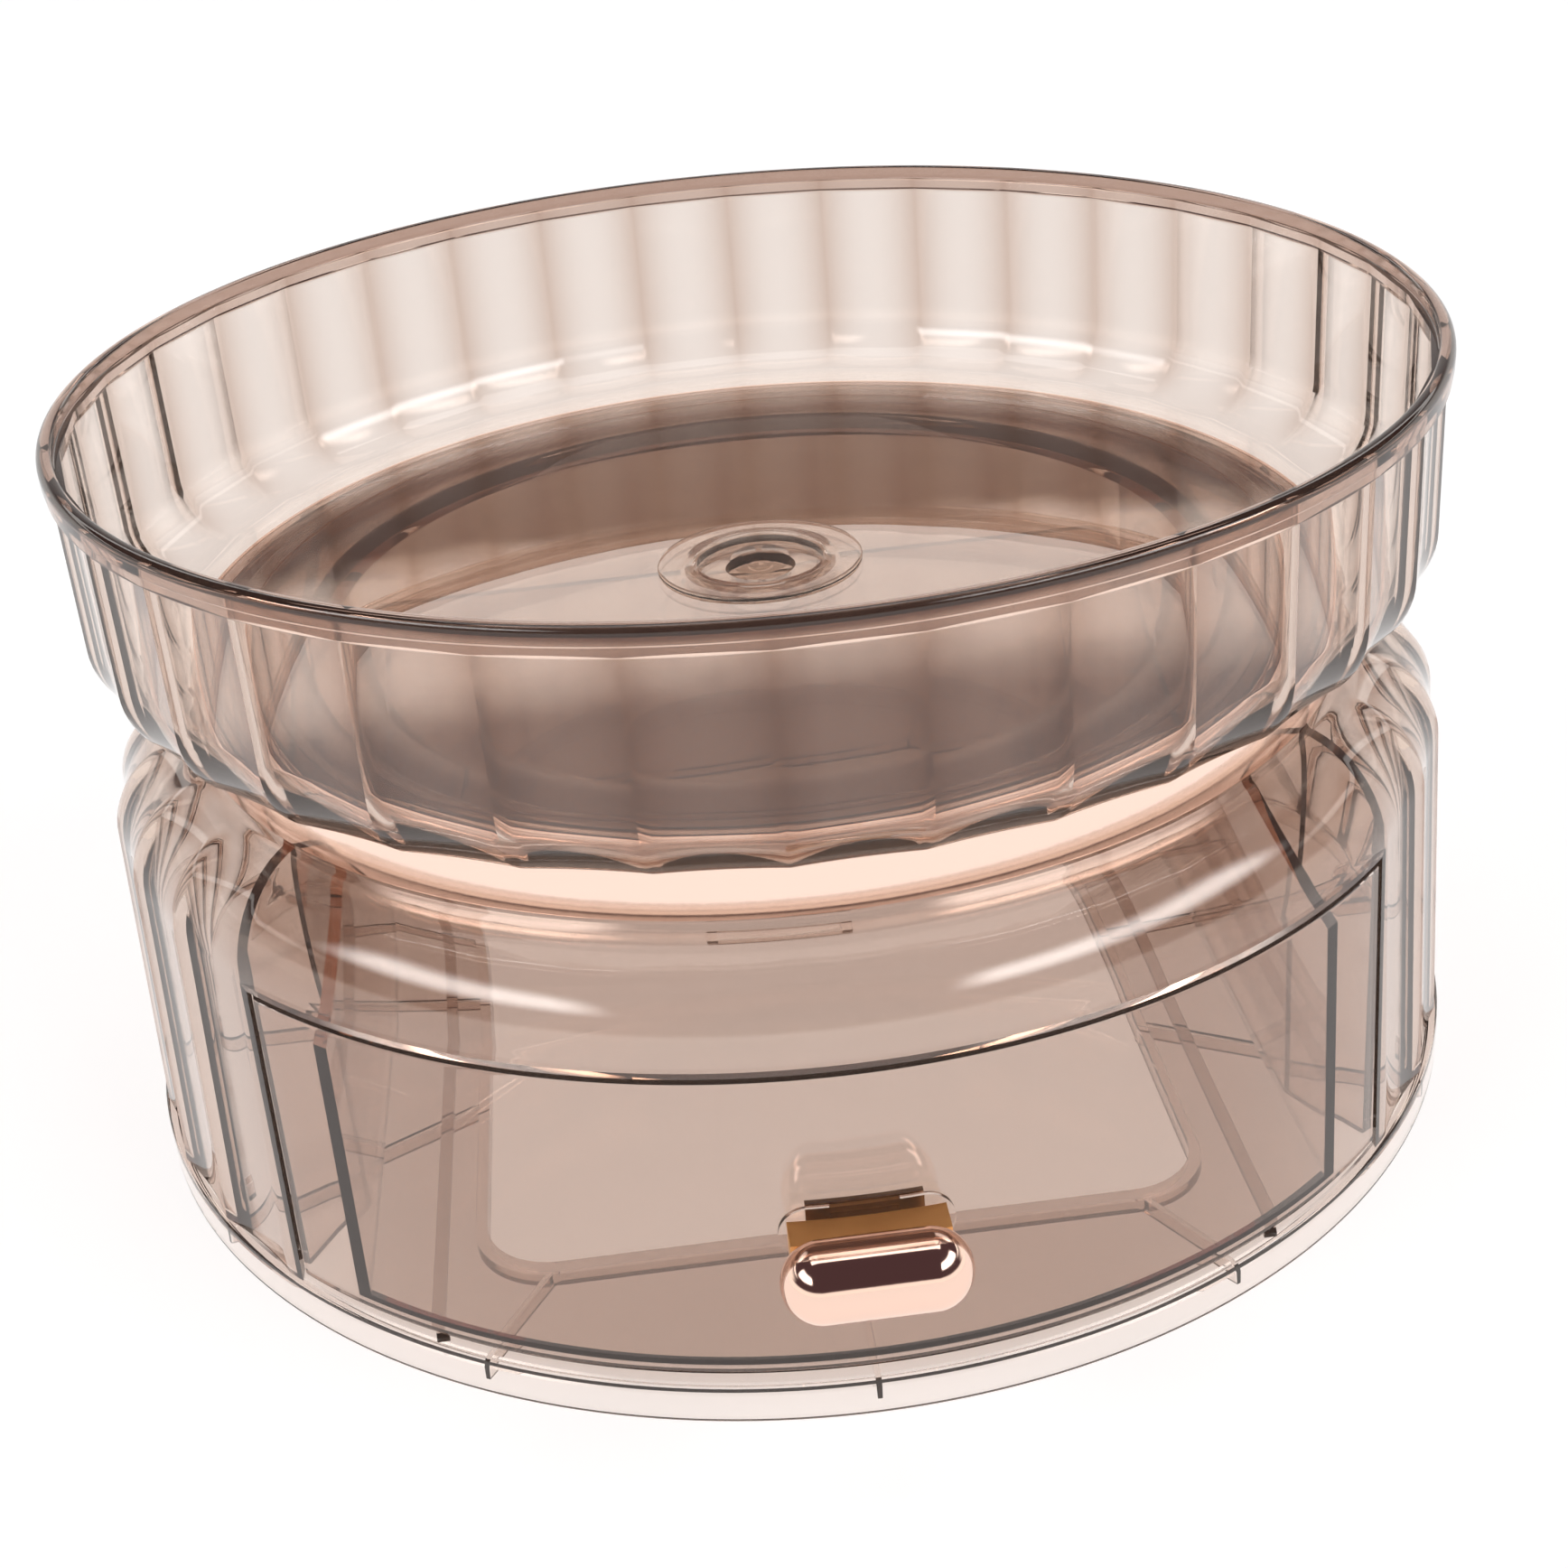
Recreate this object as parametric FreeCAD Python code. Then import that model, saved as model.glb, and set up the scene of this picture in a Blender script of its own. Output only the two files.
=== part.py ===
import FreeCAD
import Part
import os
from math import sin, cos, radians, sqrt
from FreeCAD import Vector

# Round vanity organizer: a fluted tray that turns on a case with one curved drawer.
# Millimetres. +Z is up, the resting plane is z = 0 and the tray turns about the Z axis.
# The drawer opens along -Y. Bearings round the axis are counted from -Y toward +X.

# fluting shared by the tray and the case
FLUTES = 36
PITCH = 360.0 / FLUTES
FLUTE_DEPTH = 1.2
FLUTE_START_DEPTH = 0.4
TRAY_PHASE = -3.2

# tray
RIM_R = 115.0
RIM_TOP = 128.6
RIM_FOOT = 124.0
RIM_BORE_R = 112.4
TRAY_WALL_R = 114.0
TRAY_LOW_R = 113.8
TRAY_CORNER = 13.6
TRAY_UNDER = 86.3
TRAY_INNER_R = 111.6
TRAY_INNER_LOW_R = 111.3
TRAY_INNER_CORNER = 11.0
FLOOR_TOP = 89.2
HUB_RECESS_R = 11.0
HUB_RECESS_Z = 88.0
RIM_ROOT_R = 108.0
RIM_LIP_Z = 126.3
RIM_PROFILE = [(RIM_ROOT_R, RIM_FOOT), (114.7, RIM_FOOT), (114.7, 125.7), (RIM_R, 125.9), (RIM_R, 127.5),
               (114.8, 128.1), (114.3, 128.5), (113.9, RIM_TOP), (RIM_ROOT_R, RIM_TOP)]

# hub cap, from the middle outward and back under
CAP_FOOT = 89.22
CAP_OUTER = [(0, 92.0), (4.0, 91.9), (8.0, 91.4), (11.0, 90.6), (13.0, 89.95), (17.3, 89.85), (17.8, 89.5),
             (17.8, CAP_FOOT)]
CAP_INNER = [(11.6, CAP_FOOT), (11.2, 89.7), (8.0, 90.6), (4.0, 91.0), (0, 91.1)]

# case
CASE_TOP_R = 115.2
CASE_FOOT_R = 116.8
CASE_WALL = 2.3
CASE_FOOT_Z = 6.7
SHOULDER_Z = 60.6
SHOULDER_RAD = 15.0
NECK_R = 98.1
NECK_WALL = 2.1
DECK_TOP = 83.4
DECK_T = 2.0
NECK_TOP = 85.6
OPEN_HALF_W = 87.2
OPEN_TOP = 60.0
SMOOTH_HALF_ANGLE = 50.0
BOSS_BORE_R = 4.05
BOSS_R = 8.0
BOSS_FOOT = 74.0

# turntable fittings
TRACK_IN_R = 74.0
TRACK_OUT_R = 95.6
TRACK_TOP = 85.8
GLIDE_IN_R = 89.0
GLIDE_OUT_R = 92.0
GLIDE_TOP = 86.1
GLIDE_GROOVE_Z = 84.8
GLIDE_GROOVE_CLEAR = 0.1
RING_IN_R = 98.15
RING_OUT_R = 99.0
RING_FOOT = 75.75
RING_BREAK = 0.25
POST_R = 6.0
POST_BORE_CLEAR = 0.08
POST_FLANGE_R = 14.0
POST_FLANGE_TOP = 86.2
POST_TOP = 88.1
SPIGOT_R = 4.0
SPIGOT_LEAD = 0.6
PILOT_R = 1.7
PILOT_FOOT = 77.0
WASHER_BORE_R = 2.2
WASHER_R = 10.0
WASHER_T = 0.6
SCREW_R = 1.6
SCREW_TIP = 78.5
HEAD_R = 5.2
HEAD_H = 1.6
RECESS_HALF_L = 3.0
RECESS_HALF_W = 0.5
RECESS_DEPTH = 1.0

# base plate
SKIRT_R = 117.4
SKIRT_T = 2.0
PLATE_TOP = 6.6
PLATE_UNDER = 4.6
HOLE_HALF_X = 57.5
HOLE_HALF_Y = 81.0
HOLE_CORNER = 11.5
RIM_RIB_T = 2.0
RIM_RIB_FOOT = 2.4
SPOKES = 12
SPOKE_FOOT = 2.0
SPOKE_IN_R = 54.0
SPOKE_IN_HALF_W = 0.85
SPOKE_OUT_HALF_W = 0.45
KEY_BEARINGS = (62, 90, 135)
KEY_HALF_W = 1.2
KEY_IN_R = 108.8
KEY_OUT_R = 112.6
KEY_H = 3.0
RUNNER_X = 64.5
RUNNER_W = 2.0
RUNNER_TOP = 7.9
RUNNER_FRONT_Y = -96.5
RUNNER_BACK_Y = 88.0
RUNNER_BEVEL = 0.6

# drawer and its bay
FRONT_T = 2.2
FRONT_HALF_W = 86.3
FRONT_FOOT = 8.4
FRONT_TOP = 59.3
BOX_UNDER = 8.2
BOX_FLOOR = 10.4
BOX_HALF_X = 76.6
BOX_WALL = 2.0
BOX_BACK_Y = 74.0
BOX_TOP = 55.0
BOX_CORNER = 6.0
BAY_WALL_X = 79.6
BAY_WALL_T = 2.0
BAY_WALL_BACK_Y = 70.0
BAY_SPLAY_IN = [(78.6, -58.5), (85.4, -72.2)]
BAY_SPLAY_OUT = [(87.2, -71.0), (80.6, -57.7)]
BAY_GAP = 0.15
BAY_WALL_GAP = 0.05
STOP_Y = 39.4
LUG_HALF_W = 14.0
LUG_T = 2.0
LUG_FOOT = 4.2
GUSSET_L = 8.0
GUSSET_FOOT = 5.5

# handle
PULL_Z = 33.0
PULL_Y = -126.5
PULL_W = 27.4
PULL_R = 6.0
SEAT_PROUD = 0.8
SEAT_HALF_W = 12.8
SEAT_HALF_H = 4.4
SEAT_LIFT = 0.3
STEM_W = 23.0
STEM_TOP = 36.2
STEM_H = 5.6
STEM_REACH = 4.6
TONGUE_W = 10.0
TONGUE_H = 2.4
TONGUE_FRONT_Y = -121.0
TONGUE_BACK_Y = -110.5
TONGUE_Z = STEM_TOP - STEM_H / 2
SLOT_CLEAR = 0.1
STEM_FIT = 0.02
CLIP_HALF_W = 8.5
CLIP_HALF_H = 4.0
CLIP_T = 1.0

# how far plain cutting blocks run past the solid they cut or fill
OVER = 0.5
SKIN_TOP = 70.0
FRONT_REACH_Y = -130.0


def polar(r, bearing, z):
    a = radians(bearing)
    return Vector(r * sin(a), -r * cos(a), z)


def disc(r, z0, z1):
    return Part.makeCylinder(r, z1 - z0, Vector(0, 0, z0))


def annulus(r_in, r_out, z0, z1):
    return disc(r_out, z0, z1).cut(disc(r_in, z0 - 1, z1 + 1))


def turned(profile):
    """Solid of revolution from (radius, z) corners."""
    points = [Vector(r, 0, z) for r, z in profile]
    face = Part.Face(Part.makePolygon(points + [points[0]]))
    return face.revolve(Vector(0, 0, 0), Vector(0, 0, 1), 360)


def block(x0, x1, y0, y1, z0, z1):
    return Part.makeBox(x1 - x0, y1 - y0, z1 - z0, Vector(x0, y0, z0))


def fluted_ring(r, depth, z, first, count):
    """Scalloped edges from one ridge to the next, hollow side outward."""
    edges = []
    for k in range(count):
        a = first + k * PITCH
        mid = polar(r - depth, a + PITCH / 2, z)
        edges.append(Part.Arc(polar(r, a, z), mid, polar(r, a + PITCH, z)).toShape())
    return edges


def tray_section(r, depth, z):
    return Part.Wire(fluted_ring(r, depth, z, TRAY_PHASE, FLUTES))


def faceted_section(r, z):
    """Flat sided ring with its corners on the tray's ridges."""
    points = [polar(r, TRAY_PHASE + k * PITCH, z) for k in range(FLUTES)]
    return Part.makePolygon(points + [points[0]])


def case_section(r, depth, z):
    """Scallops round the sides and back, one plain arc across the drawer."""
    count = int((360 - 2 * SMOOTH_HALF_ANGLE) / PITCH)
    edges = fluted_ring(r, depth, z, SMOOTH_HALF_ANGLE, count)
    front = Part.Arc(polar(r, -SMOOTH_HALF_ANGLE, z), polar(r, 0, z), polar(r, SMOOTH_HALF_ANGLE, z))
    edges.append(front.toShape())
    return Part.Wire(edges)


def case_radius(z):
    """Ridge radius of the drafted case wall, and of the shoulder above it."""
    if z <= SHOULDER_Z:
        slope = (CASE_FOOT_R - CASE_TOP_R) / (SHOULDER_Z - CASE_FOOT_Z)
        return CASE_TOP_R + (SHOULDER_Z - z) * slope
    rise = min(z - SHOULDER_Z, SHOULDER_RAD)
    return CASE_TOP_R - SHOULDER_RAD + sqrt(SHOULDER_RAD ** 2 - rise ** 2)


def make_tray():
    """Bowl: fluted outside, faceted inside, heavy rolled rim, recess for the hub."""
    centre_r = TRAY_LOW_R - TRAY_CORNER
    centre_z = TRAY_UNDER + TRAY_CORNER
    outer = []
    for step in range(0, 91, 15):
        s = sin(radians(step))
        c = cos(radians(step))
        depth = FLUTE_START_DEPTH + (FLUTE_DEPTH - FLUTE_START_DEPTH) * s
        outer.append(tray_section(centre_r + TRAY_CORNER * s, depth, centre_z - TRAY_CORNER * c))
    low = Part.makeLoft(outer, True, False)
    wall = [tray_section(TRAY_LOW_R, FLUTE_DEPTH, centre_z),
            tray_section(TRAY_WALL_R, FLUTE_DEPTH, RIM_FOOT + OVER)]
    body = low.fuse(Part.makeLoft(wall, True, True))
    body = body.fuse(turned(RIM_PROFILE))
    in_r = TRAY_INNER_LOW_R - TRAY_INNER_CORNER
    in_z = FLOOR_TOP + TRAY_INNER_CORNER
    inner = []
    for step in range(0, 91, 15):
        s = sin(radians(step))
        c = cos(radians(step))
        inner.append(faceted_section(in_r + TRAY_INNER_CORNER * s, in_z - TRAY_INNER_CORNER * c))
    inner.append(faceted_section(TRAY_INNER_R, RIM_LIP_Z + 0.1))
    hollow = Part.makeLoft(inner, True, True)
    mouth = turned([(0, RIM_LIP_Z), (RIM_BORE_R, RIM_LIP_Z), (RIM_BORE_R, RIM_TOP - 0.6),
                    (RIM_BORE_R + 0.6, RIM_TOP + 1), (0, RIM_TOP + 1)])
    body = body.cut(hollow).cut(mouth)
    body = body.cut(disc(HUB_RECESS_R, HUB_RECESS_Z, FLOOR_TOP + 1))
    return body.cut(disc(POST_R + POST_BORE_CLEAR, TRAY_UNDER - 1, FLOOR_TOP))


def make_hub_cap():
    """Thin domed cap glued over the pivot screw in the middle of the tray."""
    return turned(CAP_OUTER + CAP_INNER)


def make_case_shell():
    """One moulding: open-fronted drum wall, rounded shoulder, neck and top deck."""
    levels = [CASE_FOOT_Z, SHOULDER_Z]
    wall = Part.makeLoft([case_section(case_radius(z), FLUTE_DEPTH, z) for z in levels], True, True)
    arcs = []
    for step in range(0, 91, 15):
        z = SHOULDER_Z + SHOULDER_RAD * sin(radians(step))
        depth = FLUTE_START_DEPTH + (FLUTE_DEPTH - FLUTE_START_DEPTH) * cos(radians(step))
        arcs.append(case_section(case_radius(z), depth, z))
    body = wall.fuse(Part.makeLoft(arcs, True, False))
    body = body.fuse(disc(NECK_R, SHOULDER_Z, NECK_TOP))
    inner_top = SHOULDER_Z + SHOULDER_RAD - CASE_WALL
    rad = SHOULDER_RAD - CASE_WALL
    profile = [(0, CASE_FOOT_Z - 1), (CASE_FOOT_R - CASE_WALL, CASE_FOOT_Z - 1)]
    for step in range(0, 91, 10):
        s = sin(radians(step))
        c = cos(radians(step))
        profile.append((CASE_TOP_R - SHOULDER_RAD + rad * c, SHOULDER_Z + rad * s))
    neck_in = NECK_R - NECK_WALL
    profile += [(neck_in, inner_top), (neck_in, DECK_TOP - DECK_T), (0, DECK_TOP - DECK_T)]
    body = body.cut(turned(profile))
    body = body.cut(disc(neck_in, DECK_TOP, NECK_TOP + 1))
    body = body.cut(block(-OPEN_HALF_W, OPEN_HALF_W, FRONT_REACH_Y, -40, CASE_FOOT_Z - 1, OPEN_TOP))
    boss = annulus(BOSS_BORE_R, BOSS_R, BOSS_FOOT, DECK_TOP - DECK_T + OVER)
    return body.fuse(boss).cut(disc(BOSS_BORE_R, BOSS_FOOT - 1, DECK_TOP + 1))


def make_track_ring():
    """Raised flat land on the deck, grooved for the glide ring."""
    ring = annulus(TRACK_IN_R, TRACK_OUT_R, DECK_TOP, TRACK_TOP)
    groove_in = GLIDE_IN_R - GLIDE_GROOVE_CLEAR
    groove_out = GLIDE_OUT_R + GLIDE_GROOVE_CLEAR
    return ring.cut(annulus(groove_in, groove_out, GLIDE_GROOVE_Z, TRACK_TOP + 1))


def make_glide_ring():
    return annulus(GLIDE_IN_R, GLIDE_OUT_R, GLIDE_GROOVE_Z, GLIDE_TOP)


def make_neck_ring():
    """Plated band sleeved over the neck, its edges broken."""
    b = RING_BREAK
    return turned([(RING_IN_R, RING_FOOT), (RING_OUT_R - b, RING_FOOT), (RING_OUT_R, RING_FOOT + b),
                   (RING_OUT_R, NECK_TOP - b), (RING_OUT_R - b, NECK_TOP), (RING_IN_R, NECK_TOP)])


def make_pivot_post():
    """Turned post: spigot in the deck boss, flange on the deck, journal in the tray."""
    return turned([(0, BOSS_FOOT), (SPIGOT_R - 0.4, BOSS_FOOT), (SPIGOT_R, BOSS_FOOT + SPIGOT_LEAD),
                   (SPIGOT_R, DECK_TOP), (POST_FLANGE_R, DECK_TOP), (POST_FLANGE_R, POST_FLANGE_TOP - 0.5),
                   (POST_FLANGE_R - 0.5, POST_FLANGE_TOP), (POST_R, POST_FLANGE_TOP), (POST_R, POST_TOP),
                   (PILOT_R, POST_TOP), (PILOT_R, PILOT_FOOT + 1), (0, PILOT_FOOT)])


def make_pivot_washer():
    return annulus(WASHER_BORE_R, WASHER_R, POST_TOP, POST_TOP + WASHER_T)


def make_pivot_screw():
    """Pan head screw with a cross recess, down the middle of the post."""
    seat = POST_TOP + WASHER_T
    screw = turned([(0, SCREW_TIP), (SCREW_R - 0.6, SCREW_TIP + 0.8), (SCREW_R, SCREW_TIP + 1.5),
                    (SCREW_R, seat), (HEAD_R, seat), (HEAD_R, seat + 0.9), (HEAD_R - 0.8, seat + 1.5),
                    (0, seat + HEAD_H)])
    for x, y in ((RECESS_HALF_L, RECESS_HALF_W), (RECESS_HALF_W, RECESS_HALF_L)):
        screw = screw.cut(block(-x, x, -y, y, seat + HEAD_H - RECESS_DEPTH, seat + HEAD_H + 1))
    return screw


def rounded_prism(half_x, half_y, rad, z0, z1):
    solid = block(-half_x, half_x, -half_y, half_y, z0, z1)
    upright = [e for e in solid.Edges if abs(e.Vertexes[0].Z - e.Vertexes[1].Z) > 0.5]
    return solid.makeFillet(rad, upright)


def make_base_plate():
    """Round plate on a skirt, a large framed window, twelve tapered spokes under it."""
    outer = turned([(0, PLATE_UNDER), (SKIRT_R - SKIRT_T, PLATE_UNDER), (SKIRT_R - SKIRT_T, 0), (SKIRT_R, 0),
                    (SKIRT_R, 6.0), (SKIRT_R - 0.4, PLATE_TOP), (0, PLATE_TOP)])
    window = rounded_prism(HOLE_HALF_X, HOLE_HALF_Y, HOLE_CORNER, 0, PLATE_TOP + 1)
    frame = rounded_prism(HOLE_HALF_X + RIM_RIB_T, HOLE_HALF_Y + RIM_RIB_T, HOLE_CORNER + RIM_RIB_T,
                          RIM_RIB_FOOT, PLATE_UNDER + OVER)
    body = outer.fuse(frame)
    spoke_out_r = SKIRT_R - SKIRT_T / 2
    corners = [(-SPOKE_IN_HALF_W, -SPOKE_IN_R), (SPOKE_IN_HALF_W, -SPOKE_IN_R),
               (SPOKE_OUT_HALF_W, -spoke_out_r), (-SPOKE_OUT_HALF_W, -spoke_out_r)]
    points = [Vector(x, y, SPOKE_FOOT) for x, y in corners]
    spoke_face = Part.Face(Part.makePolygon(points + [points[0]]))
    spoke = spoke_face.extrude(Vector(0, 0, PLATE_UNDER + OVER - SPOKE_FOOT))
    for k in range(SPOKES):
        rib = spoke.copy()
        rib.rotate(Vector(0, 0, 0), Vector(0, 0, 1), k * 360.0 / SPOKES)
        body = body.fuse(rib)
    body = body.cut(window)
    for side in (-1, 1):
        key = block(-KEY_HALF_W, KEY_HALF_W, -KEY_OUT_R, -KEY_IN_R, PLATE_TOP - OVER, PLATE_TOP + KEY_H)
        for bearing in KEY_BEARINGS:
            tooth = key.copy()
            tooth.rotate(Vector(0, 0, 0), Vector(0, 0, 1), side * bearing)
            body = body.fuse(tooth)
    return body.removeSplitter()


def make_runner(side):
    """Narrow slide strip fixed along the base plate, its ends bevelled."""
    x = side * RUNNER_X
    strip = block(x - RUNNER_W / 2, x + RUNNER_W / 2, RUNNER_FRONT_Y, RUNNER_BACK_Y, PLATE_TOP, RUNNER_TOP)
    across = [e for e in strip.Edges if abs(e.Vertexes[0].X - e.Vertexes[1].X) > 0.5]
    return strip.makeChamfer(RUNNER_BEVEL, [e for e in across if e.Vertexes[0].Z > RUNNER_TOP - 0.1])


def make_bay_wall(side, room):
    """Upright partition beside the drawer, splayed out to the jamb at its front end."""
    t = BAY_WALL_T / 2
    back = [(BAY_WALL_X + t, BAY_WALL_BACK_Y), (BAY_WALL_X - t, BAY_WALL_BACK_Y)]
    points = [Vector(side * x, y, PLATE_TOP + BAY_WALL_GAP) for x, y in back + BAY_SPLAY_IN + BAY_SPLAY_OUT]
    plate = Part.Face(Part.makePolygon(points + [points[0]])).extrude(Vector(0, 0, DECK_TOP))
    return plate.common(room)


def bay_room():
    """Clear space inside the shell that the partitions have to fit."""
    rad = SHOULDER_RAD - CASE_WALL - BAY_GAP
    profile = [(0, PLATE_TOP), (CASE_FOOT_R - CASE_WALL - BAY_GAP, PLATE_TOP)]
    for step in range(0, 91, 10):
        a = radians(step)
        profile.append((CASE_TOP_R - SHOULDER_RAD + rad * cos(a), SHOULDER_Z + rad * sin(a)))
    neck_in = NECK_R - NECK_WALL - BAY_GAP
    ceiling = DECK_TOP - DECK_T - BAY_GAP
    profile += [(neck_in, SHOULDER_Z + rad), (neck_in, ceiling), (0, ceiling)]
    return turned(profile)


def front_skin(inset):
    """Drafted round body, the case wall's outer surface moved inward by inset."""
    slope = (CASE_FOOT_R - CASE_TOP_R) / (SHOULDER_Z - CASE_FOOT_Z)
    low = CASE_TOP_R + SHOULDER_Z * slope - inset
    high = CASE_TOP_R + (SHOULDER_Z - SKIN_TOP) * slope - inset
    return turned([(0, 0), (low, 0), (high, SKIN_TOP), (0, SKIN_TOP)])


def back_corners_rounded(solid, rad):
    upright = [e for e in solid.Edges if abs(e.Vertexes[0].Z - e.Vertexes[1].Z) > 1]
    return solid.makeFillet(rad, [e for e in upright if e.Vertexes[0].Y > 0])


def make_drawer_box():
    """One moulding: floor, sides and back behind a wide curved front, a pull seat and a stop lug."""
    slab = block(-FRONT_HALF_W, FRONT_HALF_W, FRONT_REACH_Y, -60, FRONT_FOOT, FRONT_TOP)
    front = front_skin(0).cut(front_skin(FRONT_T)).common(slab)
    outer = block(-BOX_HALF_X, BOX_HALF_X, FRONT_REACH_Y, BOX_BACK_Y, BOX_UNDER, BOX_TOP)
    outer = back_corners_rounded(outer, BOX_CORNER)
    in_x = BOX_HALF_X - BOX_WALL
    inner = block(-in_x, in_x, FRONT_REACH_Y - 1, BOX_BACK_Y - BOX_WALL, BOX_FLOOR, BOX_TOP + 1)
    inner = back_corners_rounded(inner, BOX_CORNER - BOX_WALL)
    behind = block(-100, 100, 0, 100, 0, SKIN_TOP)
    box = outer.cut(inner).common(front_skin(OVER).fuse(behind))
    lug = block(-LUG_HALF_W, LUG_HALF_W, STOP_Y, STOP_Y + LUG_T, LUG_FOOT, BOX_UNDER + OVER)
    for x in (-LUG_HALF_W, LUG_HALF_W - LUG_T):
        lug = lug.fuse(block(x, x + LUG_T, STOP_Y, STOP_Y + GUSSET_L, GUSSET_FOOT, BOX_UNDER + OVER))
    slot = tongue_block(FRONT_REACH_Y, -105, SLOT_CLEAR)
    seat = pill(SEAT_HALF_W, SEAT_HALF_H, FRONT_REACH_Y, -100, TONGUE_Z + SEAT_LIFT)
    seat = seat.common(front_skin(-SEAT_PROUD)).cut(front_skin(OVER))
    return front.fuse(box).fuse(seat).fuse(lug).cut(slot).removeSplitter()


def pill(half_w, half_h, y0, y1, z):
    """Bar with round ends, its length along X and its thickness along Y."""
    straight = half_w - half_h
    body = block(-straight, straight, y0, y1, z - half_h, z + half_h)
    for side in (-1, 1):
        body = body.fuse(Part.makeCylinder(half_h, y1 - y0, Vector(side * straight, y0, z), Vector(0, 1, 0)))
    return body.removeSplitter()


def make_pull_bar():
    """Plated round bar with ball ends, flattened at the back where the neck joins it."""
    half = PULL_W / 2 - PULL_R
    bar = Part.makeCylinder(PULL_R, 2 * half, Vector(-half, PULL_Y, PULL_Z), Vector(1, 0, 0))
    for side in (-1, 1):
        bar = bar.fuse(Part.makeSphere(PULL_R, Vector(side * half, PULL_Y, PULL_Z)))
    neck_half_w = STEM_W / 2 + STEM_FIT
    neck_room = block(-neck_half_w, neck_half_w, PULL_Y + STEM_REACH, PULL_Y + PULL_R + 1,
                      STEM_TOP - STEM_H - STEM_FIT, STEM_TOP + STEM_FIT)
    return bar.cut(neck_room).removeSplitter()


def tongue_block(y0, y1, room):
    half_w = TONGUE_W / 2 + room
    half_h = TONGUE_H / 2 + room
    return block(-half_w, half_w, y0, y1, TONGUE_Z - half_h, TONGUE_Z + half_h)


def make_pull_stem():
    """Flat neck between the drawer front and the grip, its tongue through the front."""
    neck = block(-STEM_W / 2, STEM_W / 2, PULL_Y + STEM_REACH + STEM_FIT, -100, STEM_TOP - STEM_H, STEM_TOP)
    neck = neck.cut(front_skin(-SEAT_PROUD - STEM_FIT))
    return neck.fuse(tongue_block(TONGUE_FRONT_Y, TONGUE_BACK_Y, 0)).removeSplitter()


def make_pull_clip():
    """Spring plate pushed over the tongue behind the drawer front."""
    low = TONGUE_Z - CLIP_HALF_H
    plate = block(-CLIP_HALF_W, CLIP_HALF_W, TONGUE_FRONT_Y, -100, low, low + 2 * CLIP_HALF_H)
    plate = plate.common(front_skin(FRONT_T + STEM_FIT)).cut(front_skin(FRONT_T + CLIP_T))
    return plate.cut(tongue_block(FRONT_REACH_Y, -100, 0))


os.makedirs("parts", exist_ok=True)
room = bay_room()
pieces = {
    "case_shell": make_case_shell(),
    "base_plate": make_base_plate(),
    "bay_wall_left": make_bay_wall(-1, room),
    "bay_wall_right": make_bay_wall(1, room),
    "runner_left": make_runner(-1),
    "runner_right": make_runner(1),
    "neck_ring": make_neck_ring(),
    "track_ring": make_track_ring(),
    "glide_ring": make_glide_ring(),
    "pivot_post": make_pivot_post(),
    "pivot_washer": make_pivot_washer(),
    "pivot_screw": make_pivot_screw(),
    "tray": make_tray(),
    "hub_cap": make_hub_cap(),
    "drawer_box": make_drawer_box(),
    "pull_bar": make_pull_bar(),
    "pull_stem": make_pull_stem(),
    "pull_clip": make_pull_clip(),
}
for node, shape in pieces.items():
    box = shape.BoundBox
    print(node, len(shape.Solids), shape.isValid(), round(shape.Volume / 1000, 2), "cm3",
          [round(v, 2) for v in (box.XMin, box.XMax, box.YMin, box.YMax, box.ZMin, box.ZMax)])
    shape.exportStep("parts/%s.step" % node)
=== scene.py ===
import bpy
import bmesh
from math import sin, cos, atan2, degrees, radians, hypot, pi
from mathutils import Matrix, Vector


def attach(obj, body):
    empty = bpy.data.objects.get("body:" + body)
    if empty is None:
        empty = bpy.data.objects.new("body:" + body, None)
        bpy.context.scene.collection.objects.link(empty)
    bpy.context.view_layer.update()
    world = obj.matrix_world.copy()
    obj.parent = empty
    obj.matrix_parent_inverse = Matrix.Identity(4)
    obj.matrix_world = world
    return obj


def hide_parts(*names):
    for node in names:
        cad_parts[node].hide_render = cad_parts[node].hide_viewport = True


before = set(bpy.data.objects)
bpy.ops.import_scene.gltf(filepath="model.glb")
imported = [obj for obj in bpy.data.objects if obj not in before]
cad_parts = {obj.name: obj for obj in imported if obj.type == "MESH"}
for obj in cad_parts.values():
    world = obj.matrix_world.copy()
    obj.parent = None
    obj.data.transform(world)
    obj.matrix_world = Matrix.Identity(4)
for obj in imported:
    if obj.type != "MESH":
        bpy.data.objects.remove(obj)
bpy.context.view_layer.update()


# Base plate. One moulding in tinted clear styrene: a thin round plate on a deep skirt, with a large
# framed window in the middle and twelve tapered spokes underneath that stiffen it. The skirt is thin and
# nearly without tint, and six low keys on the plate locate the case wall, which is glued down over them.
def alone(piece):
    """Selects only this piece and makes it the active one."""
    bpy.ops.object.select_all(action="DESELECT")
    piece.select_set(True)
    bpy.context.view_layer.objects.active = piece


def edit(piece):
    alone(piece)
    bpy.ops.object.mode_set(mode="EDIT")
    bpy.ops.mesh.select_mode(type="VERT")
    bpy.ops.mesh.select_all(action="SELECT")


def pick(piece, wanted):
    """Selects only the vertices whose place passes the test."""
    bm = bmesh.from_edit_mesh(piece.data)
    for v in bm.verts:
        v.select_set(bool(wanted(v.co)))
    bm.select_flush_mode()
    bmesh.update_edit_mesh(piece.data)


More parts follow.
